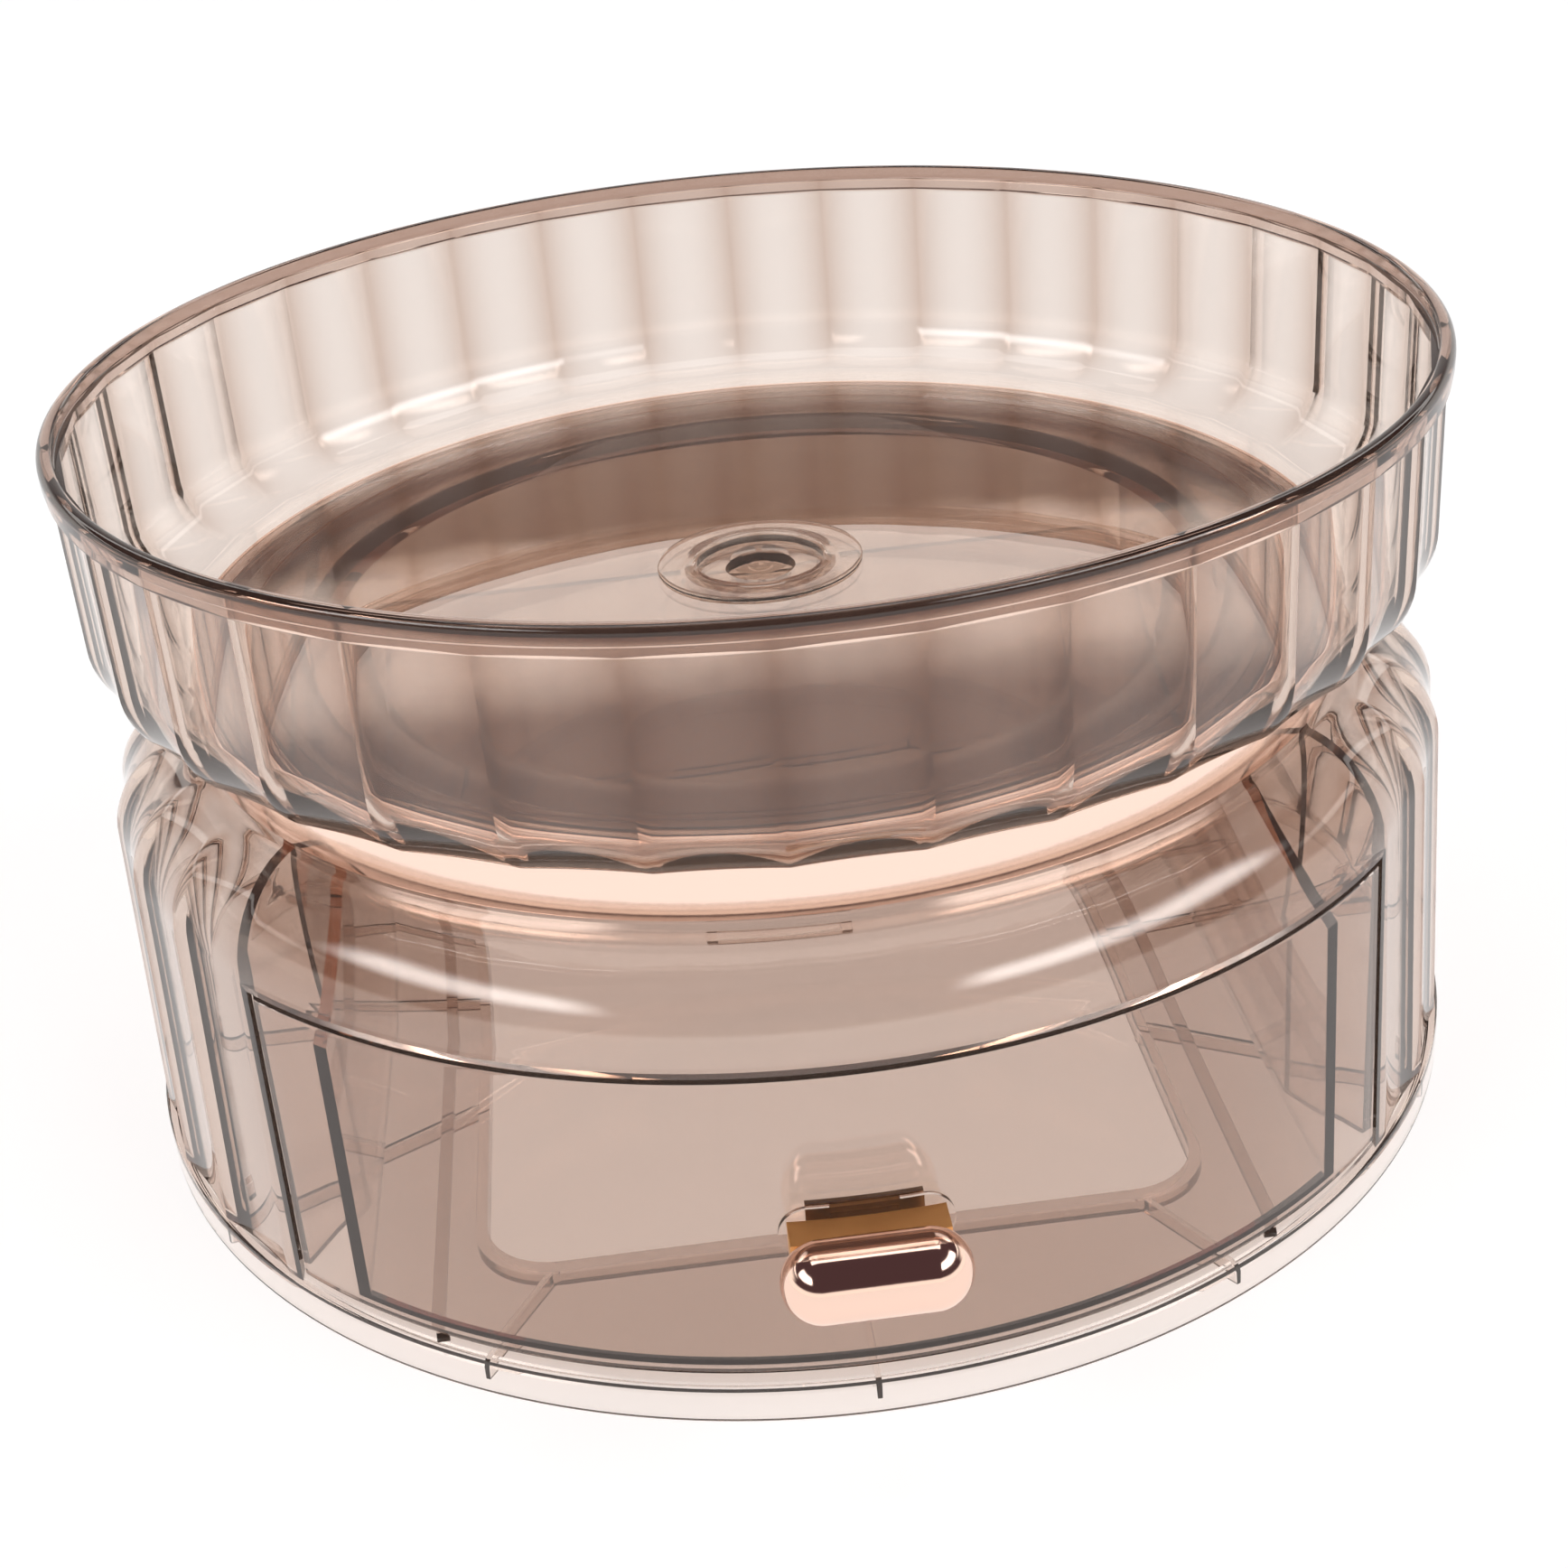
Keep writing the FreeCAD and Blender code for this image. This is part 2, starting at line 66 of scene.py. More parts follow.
def done(piece, angle=30):
    """Merges doubles, turns the faces outward and smooths all but the real edges."""
    edit(piece)
    bpy.ops.mesh.remove_doubles(threshold=0.000004)
    bpy.ops.mesh.delete_loose()
    bpy.ops.mesh.select_all(action="SELECT")
    bpy.ops.mesh.normals_make_consistent(inside=False)
    bpy.ops.object.mode_set(mode="OBJECT")
    bpy.ops.object.shade_smooth_by_angle(angle=radians(angle))


def lathe(name, corners, first=0.0, sweep=360.0, steps=240):
    """Turns a closed section of (radius, height) corners in millimetres, from one bearing through a sweep."""
    bpy.ops.object.select_all(action="DESELECT")
    bpy.ops.mesh.primitive_circle_add(vertices=len(corners), radius=0.01)
    piece = bpy.context.object
    piece.name = name
    a = radians(first)
    for v, (r, z) in zip(piece.data.vertices, corners):
        v.co = (r * sin(a) / 1000, -r * cos(a) / 1000, z / 1000)
    edit(piece)
    bpy.ops.mesh.spin(steps=steps, angle=-radians(sweep), center=(0, 0, 0), axis=(0, 0, 1))
    bpy.ops.object.mode_set(mode="OBJECT")
    return piece


def slab(name, x, y, z):
    """A plain block between two corners in millimetres."""
    bpy.ops.object.select_all(action="DESELECT")
    size = ((x[1] - x[0]) / 1000, (y[1] - y[0]) / 1000, (z[1] - z[0]) / 1000)
    mid = ((x[0] + x[1]) / 2000, (y[0] + y[1]) / 2000, (z[0] + z[1]) / 2000)
    bpy.ops.mesh.primitive_cube_add(size=1, location=mid, scale=size)
    piece = bpy.context.object
    piece.name = name
    bpy.ops.object.transform_apply(location=True, rotation=True, scale=True)
    return piece


def round_off(piece, corner, segments, wanted):
    """Rounds the edges whose two ends pass the test, by a radius in millimetres."""
    edit(piece)
    bpy.ops.mesh.select_mode(type="EDGE")
    bm = bmesh.from_edit_mesh(piece.data)
    for e in bm.edges:
        e.select_set(bool(wanted(e.verts[0].co, e.verts[1].co)))
    bm.select_flush_mode()
    bmesh.update_edit_mesh(piece.data)
    bpy.ops.mesh.bevel(offset=corner / 1000, segments=segments)
    bpy.ops.object.mode_set(mode="OBJECT")
    done(piece)


def swing(piece, bearing):
    """Turns a piece made at the front round the axis to its bearing in degrees."""
    piece.matrix_world = Matrix.Rotation(radians(bearing), 4, "Z")
    bpy.ops.object.transform_apply(location=True, rotation=True, scale=True)


def combine(piece, tool, how):
    """Joins, cuts or trims the piece with another one, which is used up."""
    alone(piece)
    cutter = piece.modifiers.new("join", "BOOLEAN")
    cutter.operation = how
    cutter.solver = "EXACT"
    cutter.object = tool
    bpy.ops.object.modifier_apply(modifier=cutter.name)
    bpy.data.objects.remove(tool, do_unlink=True)


ridge_step = 10.0
# painted shade: a darker brown laid in stripes along the ridges of the scalloped walls
ridge_painted_shade = (0.68, 0.56, 0.49, 1)
rim_brown = (0.46, 0.32, 0.26, 1)
# painted shade: a darker brown laid over the top deck, for the shade under the case seen through it
deck_painted_shade = (0.48, 0.37, 0.30, 1)
skirt_clear = (0.93, 0.90, 0.88, 1)


def tinted_styrene_with_painted_shade(name, clear, first, reach, bend=1.54):
    """Clear brown moulded plastic, with painted shade in darker stripes along the ridges, which start at the
    first bearing and stop at the reach of the smooth front. Its tint is deeper in the rim and paler in the
    skirt, and painted shade darkens the deck."""
    m = bpy.data.materials.new(name)
    m.use_nodes = True
    t = m.node_tree
    t.nodes.clear()
    n = t.nodes.new

    def maths(how, a, b=None):
        node = n("ShaderNodeMath")
        node.operation = how
        for socket, value in zip(node.inputs, (a, b)):
            if isinstance(value, (int, float)):
                socket.default_value = value
            elif value is not None:
                t.links.new(value, socket)
        return node.outputs[0]

    def ramp(value, start, end, low=0, high=1):
        node = n("ShaderNodeMapRange")
        for socket, number in zip(("From Min", "From Max", "To Min", "To Max"), (start, end, low, high)):
            node.inputs[socket].default_value = number
        t.links.new(value, node.inputs["Value"])
        return node.outputs["Result"]

    def noise(scale, detail):
        node = n("ShaderNodeTexNoise")
        node.inputs["Scale"].default_value = scale
        node.inputs["Detail"].default_value = detail
        t.links.new(place.outputs["Object"], node.inputs["Vector"])
        return node.outputs["Fac"]

    out = n("ShaderNodeOutputMaterial")
    body = n("ShaderNodeBsdfPrincipled")
    body.inputs["Transmission Weight"].default_value = 0.985
    body.inputs["IOR"].default_value = bend
    place = n("ShaderNodeTexCoord")
    xyz = n("ShaderNodeSeparateXYZ")
    t.links.new(place.outputs["Object"], xyz.inputs["Vector"])
    x, y, z = (xyz.outputs[axis] for axis in "XYZ")
    radius = maths("SQRT", maths("ADD", maths("MULTIPLY", x, x), maths("MULTIPLY", y, y)))
    bearing = maths("ARCTAN2", x, maths("MULTIPLY", y, -1))

    # painted shade: a darker stripe on each ridge, strongest at the ridge and gone half way to the next, on
    # the outer wall past the smooth front
    turns = maths("MULTIPLY", maths("SUBTRACT", bearing, radians(first)), 180 / ridge_step / pi)
    off_middle = maths("SUBTRACT", maths("MULTIPLY", maths("FRACT", turns), 2), 1)
    near_ridge = maths("MULTIPLY", off_middle, off_middle)
    on_wall = ramp(radius, 0.104, 0.111)
    past_front = ramp(maths("ABSOLUTE", bearing), reach, reach + 0.02)
    ridge_shade_share = maths("MULTIPLY", maths("MULTIPLY", near_ridge, on_wall), past_front)
    on_rim = maths("MULTIPLY", ramp(z, 0.1236, 0.1242), ramp(radius, 0.1115, 0.1120))
    # painted shade: the deck disc inside the neck is darkened
    deck_disc = maths("MULTIPLY", ramp(z, 0.0812, 0.0813), ramp(radius, 0.0958, 0.0953))
    deck_shade_share = maths("MULTIPLY", deck_disc, ramp(z, 0.0835, 0.0834))
    on_skirt = maths("MULTIPLY", ramp(z, 0.0066, 0.0064), ramp(radius, 0.1148, 0.1152))
    colour = clear
    for part, other in ((ridge_shade_share, ridge_painted_shade), (on_rim, rim_brown), (deck_shade_share, deck_painted_shade),
                        (on_skirt, skirt_clear)):
        tint = n("ShaderNodeMix")
        tint.data_type = "RGBA"
        if isinstance(colour, tuple):
            tint.inputs["A"].default_value = colour
        else:
            t.links.new(colour, tint.inputs["A"])
        tint.inputs["B"].default_value = other
        t.links.new(part, tint.inputs["Factor"])
        colour = tint.outputs["Result"]
    t.links.new(colour, body.inputs["Base Color"])

    # a few dull patches from handling, and the slow ripple of a moulded face
    t.links.new(ramp(noise(90, 6), 0.55, 0.8, 0, 0.05), body.inputs["Roughness"])
    ripple = n("ShaderNodeBump")
    ripple.inputs["Strength"].default_value = 0.06
    ripple.inputs["Distance"].default_value = 0.0004
    t.links.new(noise(40, 1), ripple.inputs["Height"])
    t.links.new(ripple.outputs["Normal"], body.inputs["Normal"])

    # light that reaches another surface through the plastic is only tinted
    shade = n("ShaderNodeBsdfTransparent")
    shade.inputs["Color"].default_value = (0.90, 0.84, 0.80, 1)
    lamp = n("ShaderNodeLightPath")
    mix = n("ShaderNodeMixShader")
    t.links.new(lamp.outputs["Is Shadow Ray"], mix.inputs[0])
    t.links.new(body.outputs["BSDF"], mix.inputs[1])
    t.links.new(shade.outputs["BSDF"], mix.inputs[2])
    t.links.new(mix.outputs["Shader"], out.inputs["Surface"])
    dye = n("ShaderNodeVolumeAbsorption")
    dye.inputs["Color"].default_value = (0.73, 0.33, 0.07, 1)
    dye.inputs["Density"].default_value = 30
    t.links.new(dye.outputs["Volume"], out.inputs["Volume"])
    return m


def finish(piece, material, body, node, angle=24):
    """Evens the shading so that big faces stay flat, then gives the piece its material and body, and hides
    the CAD node it stands in for.
    """
    done(piece, angle)
    even = piece.modifiers.new("even", "WEIGHTED_NORMAL")
    even.keep_sharp = True
    bpy.ops.object.modifier_apply(modifier=even.name)
    piece.data.materials.clear()
    piece.data.materials.append(material)
    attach(piece, body)
    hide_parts(node)


case_tint = (0.812, 0.744, 0.702, 1)
smooth_front = 50
shell_plastic = tinted_styrene_with_painted_shade("shell_styrene_painted_shade", case_tint, 0, radians(smooth_front))

plate_and_skirt = [(40, 4.6), (115.0, 4.6), (115.4, 4.2), (115.7, 0.3), (116.0, 0.0), (117.1, 0.0),
                   (117.4, 0.3), (117.4, 6.0), (117.3, 6.35), (117.0, 6.56), (40, 6.56)]
base = lathe("base_plate_moulding", plate_and_skirt)
done(base)
window_rib = slab("window_rib", (-59.5, 59.5), (-83, 83), (2.4, 5.0))
window = slab("window_cut", (-57.5, 57.5), (-81, 81), (-3, 9))
for block, corner in ((window_rib, 13.5), (window, 11.5)):
    round_off(block, corner, 10, lambda a, b: abs(a.z - b.z) > 0.001)
combine(base, window_rib, "UNION")
outer_end = (0.53, lambda p: p.y < -0.1)
lower_edge = (0.8, lambda p: p.z < 0.003)
for bearing in range(0, 360, 30):
    spoke = slab("spoke", (-0.85, 0.85), (-116.2, -52), (2.0, 4.9))
    edit(spoke)
    for narrower, wanted in (outer_end, lower_edge):
        pick(spoke, wanted)
        bpy.ops.transform.resize(value=(narrower, 1, 1), center_override=(0, 0, 0))
    bpy.ops.object.mode_set(mode="OBJECT")
    swing(spoke, bearing)
    combine(base, spoke, "UNION")
combine(base, window, "DIFFERENCE")
for bearing in (-135, -90, -62, 62, 90, 135):
    key = slab("wall_key", (-1.2, 1.2), (-112.6, -108.8), (6.0, 9.6))
    swing(key, bearing)
    combine(base, key, "UNION")
finish(base, shell_plastic, "case", "base_plate")


# Case shell. The drum wall, rounded shoulder, neck and top deck are one clear moulding. Its sides and back
# are scalloped every ten degrees; the front is smooth and cut away for the drawer.
def arc(middle_r, middle_z, radius, angles):
    """Corners along an arc in the section, its angles in degrees up from the outward direction."""
    return [(middle_r + radius * cos(radians(a)), middle_z + radius * sin(radians(a))) for a in angles]


shallow_flute = 0.4
deep_flute = 1.2


def flute_depth(r, middle_r, radius):
    """A flute is shallow where the rounded corner begins and deep where it meets the wall."""
    return shallow_flute + (deep_flute - shallow_flute) * (r - middle_r) / radius


def scallop(piece, rings, first, steps):
    """Draws each ring's columns in toward the axis between one ridge and the next, deepest half way."""
    half_step = ridge_step / 2
    close_mm = 0.003
    close_degrees = 0.02
    edit(piece)
    for r, z, depth in rings:
        for k in range(1, steps // 2 + 1):
            u = 1 - 2 * k / steps
            shrink = 1 - depth * (1 - u * u) / r
            spread = half_step * abs(u)

            def column(p):
                off = abs((degrees(atan2(p.x, -p.y)) - first) % 360 - half_step)
                on_ring = abs(hypot(p.x, p.y) * 1000 - r) < close_mm and abs(p.z * 1000 - z) < close_mm
                return on_ring and abs(off - spread) < close_degrees

            pick(piece, column)
            bpy.ops.transform.resize(value=(shrink, shrink, 1), center_override=(0, 0, 0))
    bpy.ops.object.mode_set(mode="OBJECT")


def repeat_round(piece, count):
    """Copies one scallop round the axis, until there are as many as the count."""
    more = count - 1
    edit(piece)
    bpy.ops.mesh.spin(dupli=True, steps=more, angle=-radians(ridge_step * more),
                      center=(0, 0, 0), axis=(0, 0, 1))
    bpy.ops.object.mode_set(mode="OBJECT")


corner_r = 100.2
shoulder_z = 60.6
shoulder_radius = 15
shell_wall = 2.3
foot = [(114.5, 6.7), (116.5, 6.7), (116.8, 7.0)]
shoulder = arc(corner_r, shoulder_z, shoulder_radius, range(0, 91, 6))
neck = [(99.0, 75.6), (98.3, 75.7), (98.1, 76.0), (98.1, 85.3), (97.8, 85.6), (96.3, 85.6), (96.0, 85.3)]
deck_and_socket = [(96.0, 83.36), (4.05, 83.36), (4.05, 74.0), (8.0, 74.0), (8.0, 81.4), (95.0, 81.4),
                   (96.0, 80.4), (96.0, 73.4)]
under_shoulder = arc(corner_r, shoulder_z, shoulder_radius - shell_wall, range(90, -1, -6))
shell_section = foot + shoulder + neck + deck_and_socket + under_shoulder
shell = lathe("case_shell_moulding", shell_section, first=smooth_front, sweep=ridge_step, steps=12)
scallops = [(r, z, deep_flute) for r, z in foot[1:]]
scallops += [(r, z, flute_depth(r, corner_r, shoulder_radius)) for r, z in shoulder[:-1]]
scallop(shell, scallops, smooth_front, 12)
repeat_round(shell, 26)
front_arc = lathe("front_arc", shell_section, first=-smooth_front, sweep=2 * smooth_front, steps=80)
alone(front_arc)
shell.select_set(True)
bpy.context.view_layer.objects.active = shell
bpy.ops.object.join()
done(shell, 24)
combine(shell, slab("opening_cut", (-87.2, 87.2), (-140, -40), (0, 60.0)), "DIFFERENCE")
finish(shell, shell_plastic, "case", "case_shell")


# Bay walls and slide strips. Two clear plates stand either side of the drawer and two narrow strips
# carry it; all are flat sheet parts trapped between the base plate and the shell.
def dress_node(node, material):
    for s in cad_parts[node].material_slots:
        s.material = material


for node in ("bay_wall_left", "bay_wall_right", "runner_left", "runner_right"):
    dress_node(node, shell_plastic)


# Neck ring. A thin band of plastic plated bright rose gold, slid over the neck before the tray goes on.
# The plating is a mirror with the faintest orange peel and fine rub marks round it. The band's inner side
# is bare plastic, seen through the deck.
def rub_marks(t, body, scale, detail, low, high):
    """Lets the roughness wander between two values over the piece, and returns the piece's coordinates."""
    place = t.nodes.new("ShaderNodeTexCoord")
    rub = t.nodes.new("ShaderNodeTexNoise")
    rub.inputs["Scale"].default_value = scale
    rub.inputs["Detail"].default_value = detail
    rough = t.nodes.new("ShaderNodeMapRange")
    rough.inputs["To Min"].default_value = low
    rough.inputs["To Max"].default_value = high
    t.links.new(place.outputs["Object"], rub.inputs["Vector"])
    t.links.new(rub.outputs["Fac"], rough.inputs["Value"])
    t.links.new(rough.outputs["Result"], body.inputs["Roughness"])
    return place


def rose_plating(name, colour, rough_low=0.04, rough_high=0.11):
    m = bpy.data.materials.new(name)
    m.use_nodes = True
    t = m.node_tree
    body = t.nodes["Principled BSDF"]
    body.inputs["Base Color"].default_value = colour
    body.inputs["Metallic"].default_value = 1.0
    place = rub_marks(t, body, 160.0, 5.0, rough_low, rough_high)
    peel = t.nodes.new("ShaderNodeTexNoise")
    peel.inputs["Scale"].default_value = 500.0
    skin = t.nodes.new("ShaderNodeBump")
    skin.inputs["Strength"].default_value = 0.03
    skin.inputs["Distance"].default_value = 0.0002
    t.links.new(place.outputs["Object"], peel.inputs["Vector"])
    t.links.new(peel.outputs["Fac"], skin.inputs["Height"])
    t.links.new(skin.outputs["Normal"], body.inputs["Normal"])
    return m


def satin_plastic(name, colour, rough_low, rough_high, see_through=0.0, bend=1.5):
    m = bpy.data.materials.new(name)
    m.use_nodes = True
    body = m.node_tree.nodes["Principled BSDF"]
    body.inputs["Base Color"].default_value = colour
    body.inputs["Transmission Weight"].default_value = see_through
    body.inputs["IOR"].default_value = bend
    rub_marks(m.node_tree, body, 220.0, 2.0, rough_low, rough_high)
    return m


band_plating = rose_plating("band_rose_plating", (1.0, 0.76, 0.64, 1))
bare_back = satin_plastic("band_bare_back", (0.80, 0.62, 0.52, 1), 0.3, 0.5)
band_section = [(98.15, 75.75), (98.75, 75.75), (98.93, 75.82), (99.0, 76.0), (99.0, 85.35), (98.93, 85.53),
                (98.75, 85.6), (98.15, 85.6)]
band = lathe("rose_neck_band", band_section)
finish(band, band_plating, "case", "neck_ring", 30)
band.data.materials.append(bare_back)
inner_side = 0.0984
for face in band.data.polygons:
    if hypot(face.center.x, face.center.y) < inner_side:
        face.material_index = 1


# Track ring and glide ring. A clear land fixed on the deck, with a groove that holds a thin clear slip
# ring for the tray to run on. A hair of air stays between the land and the deck.
land_section = [(74.0, 83.42), (95.3, 83.42), (95.6, 83.7), (95.6, 85.5), (95.3, 85.8), (92.1, 85.8),
                (92.1, 84.75), (88.9, 84.75), (88.9, 85.8), (79.0, 85.8), (77.8, 85.5), (74.0, 83.5)]
land = lathe("track_land", land_section)
finish(land, shell_plastic, "case", "track_ring", 30)
acetal = satin_plastic("slip_clear_acetal", (0.93, 0.86, 0.80, 1), 0.05, 0.2, see_through=1.0)
dress_node("glide_ring", acetal)


# Pivot. A turned post pressed into the deck carries the tray; a washer and a pan head screw with a cross
# recess hold the tray down on it. All three are clear nylon and hardly show. Each stands a hair clear of
# the next.
nylon = satin_plastic("pivot_clear_nylon", (0.995, 0.985, 0.975, 1), 0.02, 0.08, see_through=1.0, bend=1.01)
post_section = [(0, 74.0), (3.6, 74.0), (4.0, 74.6), (4.0, 83.43), (14.0, 83.43), (14.0, 85.7),
                (13.85, 86.05), (13.5, 86.2), (6.0, 86.2), (6.0, 88.0), (1.7, 88.0), (1.7, 78.0), (0, 77.0)]
post = lathe("pivot_nylon_post", post_section, steps=96)
finish(post, nylon, "case", "pivot_post")
washer_section = [(2.3, 88.1), (9.9, 88.1), (10.0, 88.2), (10.0, 88.55), (9.9, 88.65), (2.3, 88.65),
                  (2.2, 88.55), (2.2, 88.2)]
washer = lathe("pivot_nylon_washer", washer_section, steps=96)
finish(washer, nylon, "case", "pivot_washer")
screw_section = [(0, 78.5), (1.0, 79.3), (1.6, 80.0), (1.6, 88.75), (5.1, 88.75), (5.2, 88.85), (5.2, 89.6),
                 (4.9, 90.0), (4.4, 90.2), (0, 90.3)]
screw = lathe("pivot_nylon_screw", screw_section, steps=64)
done(screw)
for x, y in ((3.0, 0.5), (0.5, 3.0)):
    combine(screw, slab("cross_recess", (-x, x), (-y, y), (89.3, 91.3)), "DIFFERENCE")
finish(screw, nylon, "case", "pivot_screw")


# Tray. One clear moulding: a flat floor turned up through a generous corner into a wall scalloped outside
# and faceted inside, under a heavy rolled rim. A bore in the middle runs on the post.
first_ridge = -3.2
tray_plastic = tinted_styrene_with_painted_shade("tray_styrene_painted_shade", (0.885, 0.815, 0.765, 1), first_ridge, 0)
turn_radius = 13.6
turn_up = arc(corner_r, 99.9, turn_radius, range(-90, 1, 6))
turn_in = arc(100.3, 100.2, 11.0, range(0, -91, -6))
wall_top = (114.0, 124.0)
wall_top_inside = (111.6, 126.4)
rim_section = [(114.6, 124.0), (114.75, 124.15), (114.75, 125.6), (114.85, 125.75), (115.0, 125.95),
               (115.0, 127.4), (114.9, 127.85), (114.65, 128.25), (114.3, 128.5), (113.9, 128.6),
               (112.9, 128.6), (112.55, 128.45), (112.4, 128.1), (112.4, 126.5), (112.3, 126.4)]
recess_and_bore = [(11.0, 89.2), (11.0, 88.0), (6.08, 88.0), (6.08, 86.3)]
tray_section = turn_up + [wall_top] + rim_section + [wall_top_inside] + turn_in + recess_and_bore
bowl = lathe("tray_bowl", tray_section, first=first_ridge, sweep=ridge_step, steps=16)
flutes = [(r, z, flute_depth(r, corner_r, turn_radius)) for r, z in turn_up] + [(*wall_top, deep_flute)]
facet_share = 0.0038
facets = [(*wall_top_inside, 0.42)] + [(r, z, facet_share * r) for r, z in turn_in]
scallop(bowl, flutes + facets, first_ridge, 16)
repeat_round(bowl, 36)
finish(bowl, tray_plastic, "tray_body", "tray")


# Hub cap. A thin clear dome on a flat flange, glued over the pivot screw in the middle of the tray. It is
# so thin and so lightly tinted that it hardly bends what is seen through it.
dome_top = [(0.0, 92.0), (2.0, 91.98), (4.0, 91.9), (6.0, 91.7), (8.0, 91.4), (9.6, 91.06), (11.0, 90.65),
            (12.2, 90.25), (13.0, 89.98), (13.6, 89.88), (17.3, 89.85), (17.65, 89.75), (17.8, 89.5)]
dome_under = [(17.8, 89.22), (11.6, 89.22), (11.2, 89.7), (9.6, 90.25), (8.0, 90.6), (6.0, 90.85),
              (4.0, 91.0), (2.0, 91.08), (0.0, 91.1)]
cap = lathe("hub_dome_cap", dome_top + dome_under, steps=96)
cap_plastic = tinted_styrene_with_painted_shade("cap_tinted_styrene", (0.97, 0.95, 0.93, 1), first_ridge, 0, bend=1.08)
finish(cap, cap_plastic, "tray_body", "hub_cap")


# Drawer. One clear moulding: a wide curved front flush with the case wall, and a square-backed box
# behind it. A raised seat on the front takes the pull, and a lug under the floor stops the drawer.
drawer_plastic = tinted_styrene_with_painted_shade("drawer_tinted_styrene", case_tint, 0, radians(60))
box = slab("drawer_moulding", (-76.6, 76.6), (-125, 74), (8.2, 55.0))
hollow = slab("drawer_hollow", (-74.6, 74.6), (-140, 72), (10.4, 60.0))
for block, corner in ((box, 6.0), (hollow, 4.0)):
    round_off(block, corner, 8, lambda a, b: abs(a.z - b.z) > 0.001 and a.y > 0)
combine(box, hollow, "DIFFERENCE")
trim_section = [(0, 0), (112.5, 0), (112.5, 8.1), (114.8, 9.6), (116.48, 9.6), (114.65, 62), (0, 62)]
drum = lathe("drawer_trim", trim_section, steps=360)
done(drum)
combine(box, drum, "INTERSECT")
front_section = [(114.5, 9.5), (114.75, 8.8), (115.25, 8.45), (115.9, 8.4), (116.4, 8.6), (116.73, 9.2),
                 (115.26, 58.6), (115.1, 59.05), (114.7, 59.3), (113.5, 59.3), (113.15, 59.1),
                 (113.05, 58.7)]
front = lathe("curved_front", front_section, first=-smooth_front, sweep=2 * smooth_front, steps=120)
front_half_width = 86.3
edit(front)
for x in (-front_half_width, front_half_width):
    bpy.ops.mesh.select_all(action="SELECT")
    bpy.ops.mesh.bisect(plane_co=(x / 1000, 0, 0), plane_no=(1, 0, 0), use_fill=True,
                        clear_inner=x < 0, clear_outer=x > 0)
bpy.ops.object.mode_set(mode="OBJECT")
done(front)
combine(box, front, "UNION")
seat = slab("pull_seat", (-12.8, 12.8), (-120, -114), (29.3, 38.1))
round_off(seat, 4.39, 10, lambda a, b: abs(a.y - b.y) > 0.001)
seat_face = lathe("seat_face", [(0, 20), (117.2, 20), (116.46, 45), (0, 45)], steps=360)
done(seat_face)
combine(seat, seat_face, "INTERSECT")
combine(box, seat, "UNION")
combine(box, slab("stop_lug", (-14, 14), (39.4, 41.4), (4.2, 9.0)), "UNION")
for x in (-14, 12):
    combine(box, slab("lug_gusset", (x, x + 2), (39.4, 47.4), (5.5, 9.0)), "UNION")
combine(box, slab("tongue_slot", (-5.1, 5.1), (-125, -105), (32.1, 34.7)), "DIFFERENCE")
finish(box, drawer_plastic, "drawer", "drawer_box")


# Pull. A plated capsule shaped bar on a flat neck with a satin amber plating, whose tongue goes through
# the drawer front and is held inside by a zinc plated spring clip.
pull_plating = rose_plating("pull_rose_plating", (0.95, 0.68, 0.56, 1))
bar_radius = 0.006
bar_half_straight = 0.0077
bpy.ops.object.select_all(action="DESELECT")
bpy.ops.mesh.primitive_uv_sphere_add(segments=64, ring_count=48, radius=bar_radius, rotation=(0, pi / 2, 0))
bar = bpy.context.object
bar.name = "rose_pull_bar"
bpy.ops.object.transform_apply(location=True, rotation=True, scale=True)
edit(bar)
for side in (-1, 1):
    pick(bar, lambda p: side * p.x > 0.0001)
    bpy.ops.transform.translate(value=(side * bar_half_straight, 0, 0))
bpy.ops.object.mode_set(mode="OBJECT")
bar.location = (0, -0.1265, 0.033)
bpy.ops.object.transform_apply(location=True, rotation=True, scale=True)
combine(bar, slab("neck_room", (-11.52, 11.52), (-121.9, -117), (30.58, 36.22)), "DIFFERENCE")
finish(bar, pull_plating, "drawer", "pull_bar", 40)
dress_node("pull_stem", rose_plating("neck_satin_plating", (0.95, 0.60, 0.26, 1), 0.34, 0.46))
dress_node("pull_clip", rose_plating("zinc_plate", (0.70, 0.69, 0.67, 1)))


# The floor it stands on: plain pale board, white where nothing shades it.
bpy.ops.object.select_all(action="DESELECT")
bpy.ops.mesh.primitive_plane_add(size=12, location=(0, 0, -0.0002))
floor = bpy.context.object
floor.name = "floor"
board = bpy.data.materials.new("floor_board")
board.use_nodes = True
matt = board.node_tree.nodes["Principled BSDF"].inputs
matt["Base Color"].default_value = (0.35, 0.35, 0.35, 1)
matt["Emission Color"].default_value = (1, 1, 1, 1)
matt["Emission Strength"].default_value = 0.78
matt["Roughness"].default_value = 0.9
matt["Specular IOR Level"].default_value = 0.0
floor.data.materials.append(board)


# The room: white low down all round and fading up the wall behind, dark overhead and on the viewer's side.
# A bright band crosses the wall behind, and the camera itself sees plain white everywhere.
world = bpy.data.worlds.new("room")
bpy.context.scene.world = world
world.use_nodes = True
t = world.node_tree
t.nodes.clear()
n = t.nodes.new


def fade(source, start, end):
    """0 at the first value of one direction component, 1 at the second."""
    node = n("ShaderNodeMapRange")
    node.interpolation_type = "SMOOTHSTEP"
    node.inputs["From Min"].default_value = start
    node.inputs["From Max"].default_value = end
    t.links.new(source, node.inputs["Value"])
    return node.outputs["Result"]


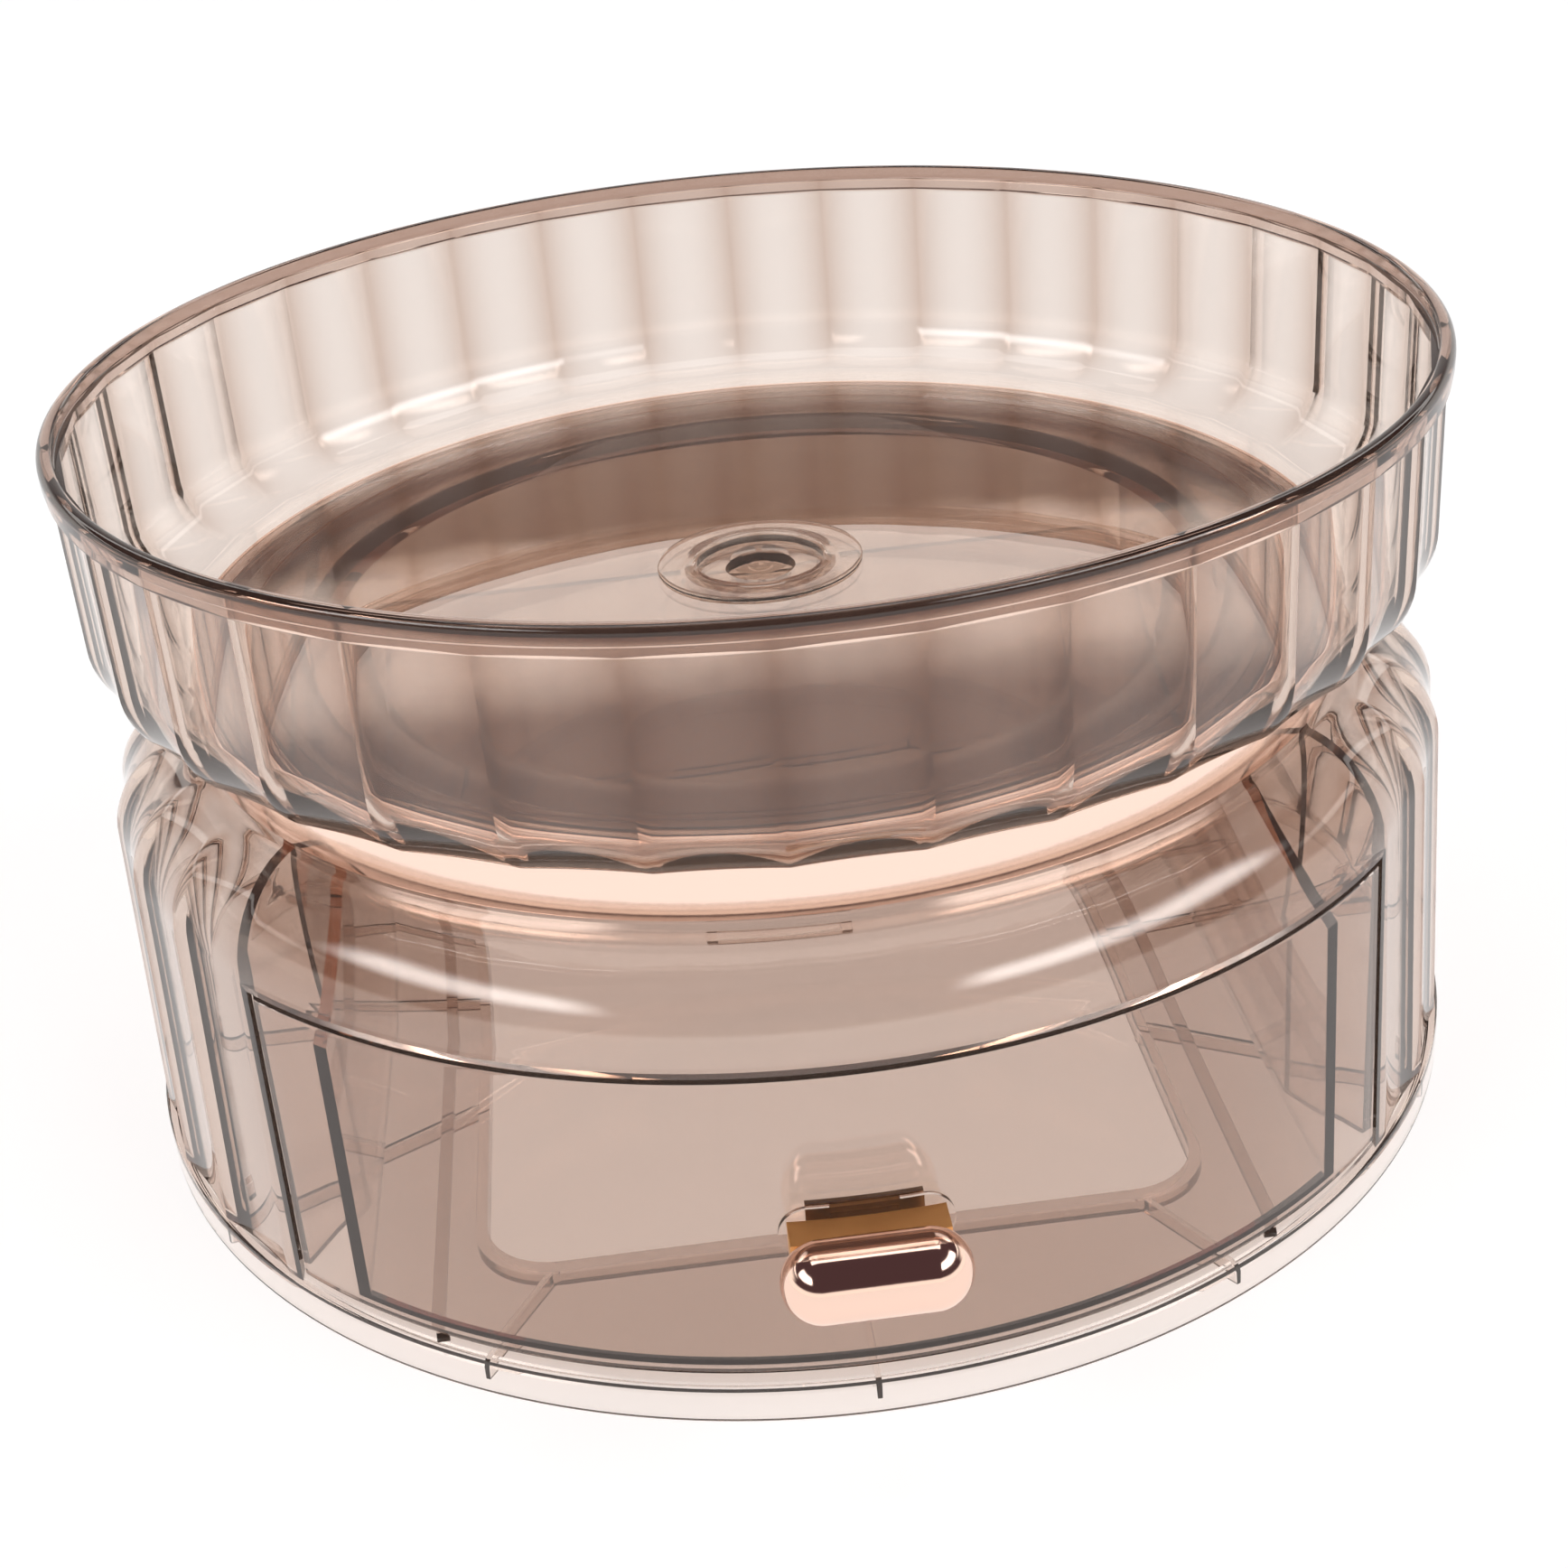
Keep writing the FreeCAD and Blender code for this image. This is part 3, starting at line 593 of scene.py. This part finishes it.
def both(a, b, how="MULTIPLY"):
    node = n("ShaderNodeMath")
    node.operation = how
    t.links.new(a, node.inputs[0])
    t.links.new(b, node.inputs[1])
    return node.outputs[0]


def paint(under, over, share):
    """Lays one plain colour over another colour or an earlier layer, by a share."""
    node = n("ShaderNodeMix")
    node.data_type = "RGBA"
    if isinstance(under, tuple):
        node.inputs["A"].default_value = under
    else:
        t.links.new(under, node.inputs["A"])
    node.inputs["B"].default_value = over
    t.links.new(share, node.inputs["Factor"])
    return node.outputs["Result"]


sky = n("ShaderNodeTexCoord")
split = n("ShaderNodeSeparateXYZ")
t.links.new(sky.outputs["Generated"], split.inputs["Vector"])
x, y, z = (split.outputs[axis] for axis in "XYZ")
behind = fade(y, -0.15, 0.30)
low_white = both(both(behind, fade(z, 0.40, 0.20)), fade(z, 0.22, 0.14), "MAXIMUM")
bright_band = both(behind, both(fade(z, 0.435, 0.408), fade(z, 0.362, 0.374)))

# a long soft box on each side, brightest in the middle and fading off at its edges
box_offset = 0.08
off_centre = n("ShaderNodeMath")
off_centre.inputs[1].default_value = box_offset
t.links.new(x, off_centre.inputs[0])
aside = n("ShaderNodeMath")
aside.operation = "ABSOLUTE"
t.links.new(off_centre.outputs[0], aside.inputs[0])
long_box = both(both(fade(z, 0.44, 0.60), fade(z, 0.76, 0.62)),
                both(fade(aside.outputs[0], 0.38, 0.52), fade(y, 0.12, -0.08)))

dim_room = (0.075, 0.045, 0.052, 1)
warm_white = (1.15, 1.11, 1.07, 1)
band_white = (1.65, 1.6, 1.55, 1)
box_light = (7, 7, 7, 1)
plain_white = (1.15, 1.15, 1.15, 1)
light_path = n("ShaderNodeLightPath")
room_light = paint(dim_room, warm_white, low_white)
room_light = paint(room_light, box_light, long_box)
room_light = paint(room_light, band_white, bright_band)
room_light = paint(room_light, plain_white, light_path.outputs["Is Camera Ray"])
back = n("ShaderNodeBackground")
t.links.new(room_light, back.inputs["Color"])
world_out = n("ShaderNodeOutputWorld")
t.links.new(back.outputs["Background"], world_out.inputs["Surface"])


# One soft box overhead, a little behind.
lamp = bpy.data.lights.new("overhead_box", "AREA")
lamp.shape = "RECTANGLE"
lamp.size, lamp.size_y = 1.1, 0.7
lamp.energy = 4
overhead = bpy.data.objects.new("overhead_box", lamp)
bpy.context.scene.collection.objects.link(overhead)
overhead.location = (0.0, 0.25, 1.3)
overhead.rotation_euler = (radians(-11), 0, 0)


# The camera: three quarters from above, a touch left of the drawer's middle.
camera = bpy.data.cameras.new("camera")
camera.sensor_width = 36.0
camera.lens = 57.41
camera.clip_start = 0.01
eye = bpy.data.objects.new("camera", camera)
bpy.context.scene.collection.objects.link(eye)
down_tilt = 0.4812
roll = 0.0855
turn = radians(3.6)
right = Vector((cos(turn), -sin(turn), 0))
above = Vector((sin(down_tilt) * sin(turn), sin(down_tilt) * cos(turn), cos(down_tilt)))
ahead = Vector((cos(down_tilt) * sin(turn), cos(down_tilt) * cos(turn), -sin(down_tilt)))
across = cos(roll) * right - sin(roll) * above
upward = sin(roll) * right + cos(roll) * above
look = Matrix((across, upward, -ahead)).transposed().to_4x4()
look.translation = Vector((-0.02444, -0.40170, 0.25531))
eye.matrix_world = look
bpy.context.scene.camera = eye


# Plain colours, and long enough light paths for the stacked clear walls.
bpy.context.scene.view_settings.view_transform = "Standard"
walls_to_cross = 40
bpy.context.scene.cycles.max_bounces = walls_to_cross
bpy.context.scene.cycles.transmission_bounces = walls_to_cross
bpy.context.scene.cycles.transparent_max_bounces = walls_to_cross
